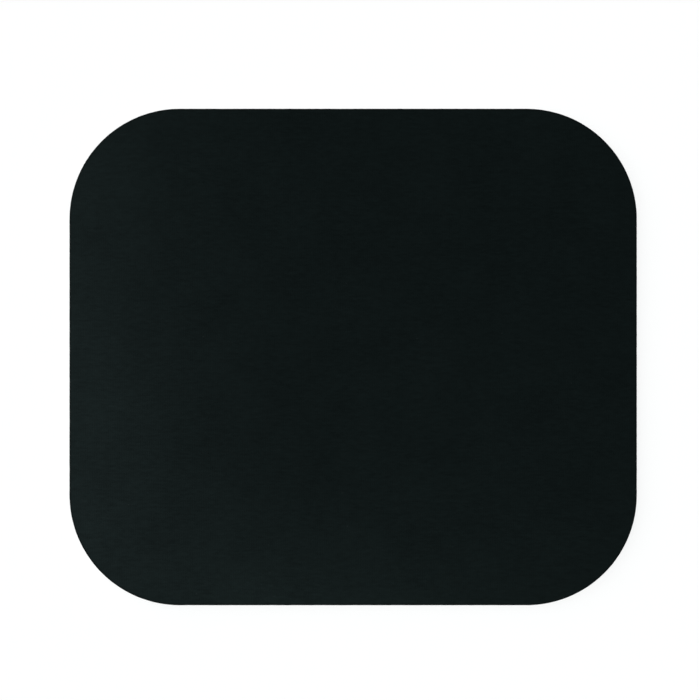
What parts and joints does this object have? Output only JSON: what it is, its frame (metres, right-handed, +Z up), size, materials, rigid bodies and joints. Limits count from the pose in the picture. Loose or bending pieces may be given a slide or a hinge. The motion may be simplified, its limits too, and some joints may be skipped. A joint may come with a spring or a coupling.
{
  "type": "mouse pad",
  "caption": "Thin mouse pad, a rectangle with wide round corners: knitted cloth bonded to a sponge rubber sheet with a wavy non-slip rubber underside.",
  "frame": {"origin": "on the desk, under the middle of the pad", "axes": "+X along the pad's long side to the user's right, +Y away from the user, +Z up out of the cloth"},
  "size_m": [0.229, 0.2004, 0.005],
  "materials": {
    "knit_cloth": "matt knitted polyester, near-black with a faint blue-green cast, fine horizontal rows",
    "glue_film": "hot-melt adhesive film, seen only as a hairline at the cut side",
    "sponge_rubber": "black sponge rubber, with open cells along its cut side",
    "skin_rubber": "solid black rubber, embossed with wavy grooves"
  },
  "bodies": {
    "root": {"top_cloth": "knit_cloth", "bond_film": "glue_film", "sponge_core": "sponge_rubber", "grip_skin": "skin_rubber"}
  },
  "joints": []
}
